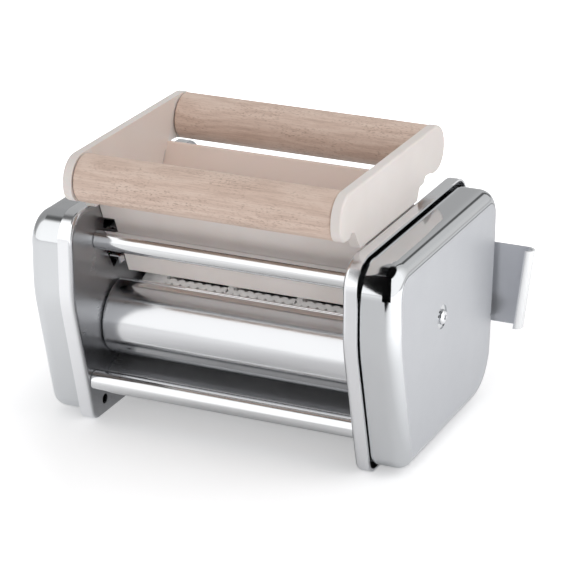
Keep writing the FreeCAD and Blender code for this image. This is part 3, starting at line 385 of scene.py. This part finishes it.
def keepShape(piece, name, body, material, sharp=40, merge=0.000002):
    # puts the place into the mesh, smooths it, and gives it its body, slot and material
    piece.name = name
    selectOnly(piece)
    bpy.ops.object.transform_apply(location=True, rotation=True, scale=True)
    bpy.ops.object.mode_set(mode="EDIT")
    bpy.ops.mesh.select_all(action="SELECT")
    bpy.ops.mesh.remove_doubles(threshold=merge)
    bpy.ops.mesh.normals_make_consistent(inside=False)
    bpy.ops.object.mode_set(mode="OBJECT")
    bpy.ops.object.shade_smooth_by_angle(angle=math.radians(sharp))
    piece.data.materials.clear()
    piece.data.materials.append(material)
    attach(piece, body)


def pickFaces(piece, wanted):  # in edit mode, leaves only the faces selected for which wanted is true
    bpy.ops.mesh.select_mode(type="FACE")
    bpy.ops.mesh.select_all(action="DESELECT")
    shape = bmesh.from_edit_mesh(piece.data)
    for face in shape.faces:
        face.select_set(wanted(face))
    bmesh.update_edit_mesh(piece.data)


def mirroredCopy(piece, scaling, centre):  # its own mesh, on the other side of a plane
    selectOnly(piece)
    bpy.ops.object.duplicate(linked=False)
    bpy.ops.transform.resize(value=scaling, center_override=centre)
    return bpy.context.object


# rolled hems along the top edges of the roller guards; y and z are the middle of the guard's curve
guardHem = {"y": -0.0239, "z": 0.0512, "reach": 0.0204, "angle": 84, "half": 0.0744, "bead": 0.00065,
            "sides": 20, "endRound": 0.0002, "endSegments": 3, "tail": 0.0014, "tailFacing": 0.94}


def rolledHem():  # a round bead on the guard's edge, with a short tail that runs into its sheet
    turn = math.radians(guardHem["angle"])
    y = guardHem["y"] + guardHem["reach"] * math.cos(turn)
    z = guardHem["z"] + guardHem["reach"] * math.sin(turn)
    bpy.ops.object.select_all(action="DESELECT")
    bpy.ops.mesh.primitive_cylinder_add(vertices=guardHem["sides"], radius=guardHem["bead"],
                                        depth=guardHem["half"] * 2, location=(0, y, z),
                                        rotation=(0, math.radians(90), 0))
    hem = bpy.context.object
    bpy.ops.object.transform_apply(location=True, rotation=True, scale=True)
    along = Vector((0, -math.sin(turn), math.cos(turn)))  # down the guard's sheet
    bpy.ops.object.mode_set(mode="EDIT")
    pickFaces(hem, lambda face: abs(face.normal.x) > endFacing)
    bpy.ops.mesh.bevel(offset=guardHem["endRound"], segments=guardHem["endSegments"], affect="EDGES")
    pickFaces(hem, lambda face: face.normal.dot(along) > guardHem["tailFacing"])
    bpy.ops.mesh.extrude_region_move(TRANSFORM_OT_translate={"value": along * guardHem["tail"]})
    bpy.ops.object.mode_set(mode="OBJECT")
    return hem


frontHem = rolledHem()
edgeSteel = brightEdgeMaterial()
keepShape(frontHem, "front_guard_hem", "frame", edgeSteel)
rearHem = mirroredCopy(frontHem, (1, -1, 1), (0, nipPlane, 0))
keepShape(rearHem, "rear_guard_hem", "frame", edgeSteel)
print("guard hems made")


# cover screws with a cross recess
coverScrew = {"seat": 0.1025, "y": -0.0079, "z": 0.0734, "head": 0.004, "rise": 0.0022, "sides": 48,
              "crown": 0.0017, "crownSegments": 7, "shank": 0.002, "length": 0.009, "tipRound": 0.0005,
              "tipSegments": 2, "slotHalf": 0.0021, "slotWide": 0.0009, "slotDeep": 0.0013, "taper": 0.6,
              "turn": 20}


def crossCutter():  # two crossed wedges, narrower at their tips
    top = coverScrew["seat"] + coverScrew["rise"]
    tip = top - coverScrew["slotDeep"]
    wedges = []
    for angle in (0, 90):
        bpy.ops.object.select_all(action="DESELECT")
        bpy.ops.mesh.primitive_cube_add(size=1, location=(top, coverScrew["y"], coverScrew["z"]))
        wedge = bpy.context.object
        wedge.scale = (coverScrew["slotDeep"] * 2, coverScrew["slotHalf"] * 2, coverScrew["slotWide"])
        wedge.rotation_euler = (math.radians(angle + coverScrew["turn"]), 0, 0)
        bpy.ops.object.transform_apply(location=True, rotation=True, scale=True)
        bpy.ops.object.mode_set(mode="EDIT")
        pickFaces(wedge, lambda face: face.normal.x < -endFacing)
        bpy.ops.transform.resize(value=(1, coverScrew["taper"], coverScrew["taper"]),
                                 center_override=(tip, coverScrew["y"], coverScrew["z"]))
        bpy.ops.object.mode_set(mode="OBJECT")
        wedges.append(wedge)
    return wedges


def crossScrew():  # a low crowned head on a shank that reaches into the pillar, with the recess cut out
    middle = coverScrew["seat"] + coverScrew["rise"] / 2
    bpy.ops.object.select_all(action="DESELECT")
    bpy.ops.mesh.primitive_cylinder_add(vertices=coverScrew["sides"], radius=coverScrew["head"],
                                        depth=coverScrew["rise"], rotation=(0, math.radians(90), 0),
                                        location=(middle, coverScrew["y"], coverScrew["z"]))
    screw = bpy.context.object
    bpy.ops.object.transform_apply(location=True, rotation=True, scale=True)
    bpy.ops.object.mode_set(mode="EDIT")
    pickFaces(screw, lambda face: face.normal.x > endFacing)
    bpy.ops.mesh.bevel(offset=coverScrew["crown"], segments=coverScrew["crownSegments"], affect="EDGES",
                       clamp_overlap=False)
    pickFaces(screw, lambda face: face.normal.x < -endFacing)
    bpy.ops.mesh.inset(thickness=coverScrew["head"] - coverScrew["shank"])
    bpy.ops.mesh.extrude_region_move(TRANSFORM_OT_translate={"value": (-coverScrew["length"], 0, 0)})
    bpy.ops.mesh.bevel(offset=coverScrew["tipRound"], segments=coverScrew["tipSegments"], affect="EDGES")
    bpy.ops.object.mode_set(mode="OBJECT")
    for wedge in crossCutter():
        cut = screw.modifiers.new("recess", "BOOLEAN")
        cut.operation = "DIFFERENCE"
        cut.solver = "EXACT"
        cut.object = wedge
        bpy.ops.object.select_all(action="DESELECT")
        bpy.context.view_layer.objects.active = screw
        bpy.ops.object.modifier_apply(modifier=cut.name)
        bpy.data.objects.remove(wedge)
    return screw


rightScrew = crossScrew()
keepShape(rightScrew, "right_cover_cross_screw", "frame", finishes["chrome_screw"])
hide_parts("right_cover_screw")
leftScrew = mirroredCopy(rightScrew, (-1, 1, 1), (0, 0, 0))
keepShape(leftScrew, "left_cover_cross_screw", "frame", finishes["chrome_screw"])
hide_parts("left_cover_screw")
print("cover screws made")


view = {"place": (0.5353, -1.1597, 0.5714), "tilt": 68.62, "turn": 24.31, "sensor": 36, "lens": 164.12,
        "near": 0.05}  # sensor and lens in millimetres
camera = bpy.data.objects.new("camera", bpy.data.cameras.new("camera"))
scene.collection.objects.link(camera)
camera.location = view["place"]
camera.rotation_euler = (math.radians(view["tilt"]), 0, math.radians(view["turn"]))
camera.data.sensor_width = view["sensor"]
camera.data.lens = view["lens"]
camera.data.clip_start = view["near"]
scene.camera = camera
scene.view_settings.view_transform = "Standard"


# White screens stand round the table: (azimuth from the front, positive to the right; brightness). Overhead
# they give way to a dark ceiling and then to a light box: (elevation where it starts, elevation where it is
# full, brightness). The soft light goes from one brightness on the left to another on the right. A colour
# ramp holds no more than 1, so each brightness is divided by the scale and the light multiplied by it.
walls = {
    "screens": [(-180, 0.6), (-150, 0.45), (-96, 0.42), (-80, 0.6), (-70, 1.35), (-14, 1.5), (40, 1.4),
                (120, 1.4), (142, 0.95), (156, 0.75), (166, 0.75), (169, 0.12), (175, 0.12), (178, 0.6),
                (180, 0.6)],
    "overhead": [(58, 64, 0.015), (70, 75, 0.5)],
    "softLight": (-1.0, 1.0, 0.42, 0.62),
    "scale": 2.0,
}


def wallColor(brightness):
    level = brightness / walls["scale"]
    return (level, level, level, 1.0)


def studioWorld():
    # steel mirrors the screens, matt surfaces get the soft light, and the camera sees plain white
    world = bpy.data.worlds.new("studioWorld")
    world.use_nodes = True
    scene.world = world
    tree = world.node_tree
    tree.nodes.clear()
    toward = addNode(tree, "SeparateXYZ", addNode(tree, "TexCoord")["Generated"])
    front = addNode(tree, "Math", toward["Y"], -1.0, operation="MULTIPLY")[0]
    azimuth = addNode(tree, "Math", toward["X"], front, operation="ARCTAN2")[0]
    turn = addNode(tree, "MapRange", azimuth, -math.pi, math.pi)[0]
    stops = [((angle + 180) / 360, wallColor(brightness)) for angle, brightness in walls["screens"]]
    around = addNode(tree, "ValToRGB", turn, stops=stops)["Color"]
    for start, end, brightness in walls["overhead"]:
        low, high = [math.sin(math.radians(angle)) for angle in (start, end)]
        above = addNode(tree, "MapRange", toward["Z"], low, high)[0]
        around = addNode(tree, "MixRGB", above, around, wallColor(brightness))[0]
    mirrored = addNode(tree, "Background", Color=around, Strength=walls["scale"])[0]
    sideways = addNode(tree, "MapRange", toward["X"], *walls["softLight"])[0]
    soft = addNode(tree, "Background", Color=hexColor("FFFFFF"), Strength=sideways)[0]
    white = addNode(tree, "Background", Color=hexColor("FFFFFF"), Strength=1.0)[0]
    rays = addNode(tree, "LightPath")
    light = addNode(tree, "MixShader", rays["Is Glossy Ray"], soft, mirrored)[0]
    seen = addNode(tree, "MixShader", rays["Is Camera Ray"], light, white)[0]
    addNode(tree, "OutputWorld", seen)


def addPlane(name, **where):
    bpy.ops.object.select_all(action="DESELECT")
    bpy.ops.mesh.primitive_plane_add(**where)
    bpy.context.object.name = name
    return bpy.context.object


# The fill grows with the distance from middle, over reach. It counts in full for the camera and by mattShare
# for matt surfaces. Steel mirrors the left and right fills instead, and the right one ends towards the rear.
# The last three are (from, to, start, end) along x, x and y.
paperFloor = {"size": 8, "tint": "F4F4F5", "middle": (0.1, 0.0, 0.0), "reach": (0.2, 0.38),
              "fill": (0.34, 1.0), "mattShare": 0.35, "left": (-0.02, -0.16, 0.06, 0.4),
              "right": (0.12, 0.3, 0.0, 0.85), "rear": (0.26, 0.36, 1.0, 0.0)}


def paperMaterial():  # matt white paper; the fill keeps it white around the soft shadow
    material, tree = newMaterial("studioPaper")
    rays = addNode(tree, "LightPath")
    place = addNode(tree, "TexCoord")["Object"]
    axes = addNode(tree, "SeparateXYZ", place)
    distance = addNode(tree, "VectorMath", place, paperFloor["middle"], operation="DISTANCE")["Value"]
    seenFill = addNode(tree, "MapRange", distance, *paperFloor["reach"], *paperFloor["fill"])[0]
    mattRays = addNode(tree, "Math", rays["Is Diffuse Ray"], paperFloor["mattShare"], rays["Is Camera Ray"],
                       operation="MULTIPLY_ADD")[0]
    seenFill = addNode(tree, "Math", seenFill, mattRays, operation="MULTIPLY")[0]
    right = addNode(tree, "MapRange", axes["X"], *paperFloor["right"])[0]
    rear = addNode(tree, "MapRange", axes["Y"], *paperFloor["rear"])[0]
    right = addNode(tree, "Math", right, rear, operation="MULTIPLY")[0]
    left = addNode(tree, "MapRange", axes["X"], *paperFloor["left"])[0]
    sideFill = addNode(tree, "Math", left, right, operation="ADD")[0]
    sideFill = addNode(tree, "Math", sideFill, rays["Is Glossy Ray"], operation="MULTIPLY")[0]
    fillLevel = addNode(tree, "Math", seenFill, sideFill, operation="ADD")[0]
    paper = addNode(tree, "BsdfDiffuse", Color=hexColor(paperFloor["tint"]))[0]
    fill = addNode(tree, "Emission", Color=hexColor("FFFFFF"), Strength=fillLevel)[0]
    filled = addNode(tree, "AddShader", paper, fill)[0]
    addNode(tree, "OutputMaterial", filled)
    return material


studioWorld()
floor = addPlane("studioFloor", size=paperFloor["size"], location=(0, 0, 0))
floor.data.materials.append(paperMaterial())


# Black cards that only reflections show: they make the dark patch in the polished corner of the right cover.
# The front one stands upright, with its lower left corner cut off along two lines (x, z, lean). The upper one
# lies flat above the corner and keeps the light box out of it.
frontCard = {"x": (-0.015, 0.178), "y": -0.16, "z": (0.062, 0.4),
             "cuts": [(0.044, 0.159, -72), (0.085, 0.07, -30)]}
upperCard = {"place": (0.1, -0.066, 0.3), "size": 0.15}


def cutCard():
    across, y, upright = frontCard["x"], frontCard["y"], frontCard["z"]
    card = addPlane("blackCard", size=1, location=(sum(across) / 2, y, sum(upright) / 2),
                    rotation=(math.radians(90), 0, 0))
    card.scale = (across[1] - across[0], upright[1] - upright[0], 1)
    bpy.ops.object.mode_set(mode="EDIT")
    for x, z, lean in frontCard["cuts"]:
        bpy.ops.mesh.select_all(action="SELECT")
        slope = math.radians(lean)
        bpy.ops.mesh.bisect(plane_co=(x, y, z), plane_no=(math.sin(slope), 0, -math.cos(slope)),
                            clear_outer=True)
    bpy.ops.object.mode_set(mode="OBJECT")
    return card


def velvetMaterial():  # black velvet: hardly any light comes back from it
    material, tree = newMaterial("blackVelvet")
    addNode(tree, "OutputMaterial", addNode(tree, "BsdfDiffuse", Color=hexColor("0C0C0C"))[0])
    return material


cards = [cutCard(), addPlane("upperBlackCard", size=upperCard["size"], location=upperCard["place"])]
velvet = velvetMaterial()
for card in cards:
    card.visible_camera = card.visible_diffuse = card.visible_shadow = card.visible_transmission = False
    card.data.materials.append(velvet)


lamps = {
    "rightLamp": {"place": (1.15, 0.2, 1.0), "size": 0.9, "power": 5.3},
    "frontLamp": {"place": (0.15, -1.5, 0.75), "size": 0.35, "power": 3.0},
    "topLamp": {"place": (0.15, 0.1, 1.5), "size": 1.2, "power": 3.5},
}


def areaLight(name, place, size, power, aim=(0, 0, 0.07)):  # polished steel doesn't mirror it
    lamp = bpy.data.lights.new(name, "AREA")
    lamp.size = size
    lamp.energy = power
    item = bpy.data.objects.new(name, lamp)
    scene.collection.objects.link(item)
    item.location = place
    item.visible_glossy = False
    item.rotation_mode = "QUATERNION"
    item.rotation_quaternion = (Vector(aim) - Vector(place)).to_track_quat("-Z", "Y")


for name, lamp in lamps.items():
    areaLight(name, **lamp)
print("studio made")
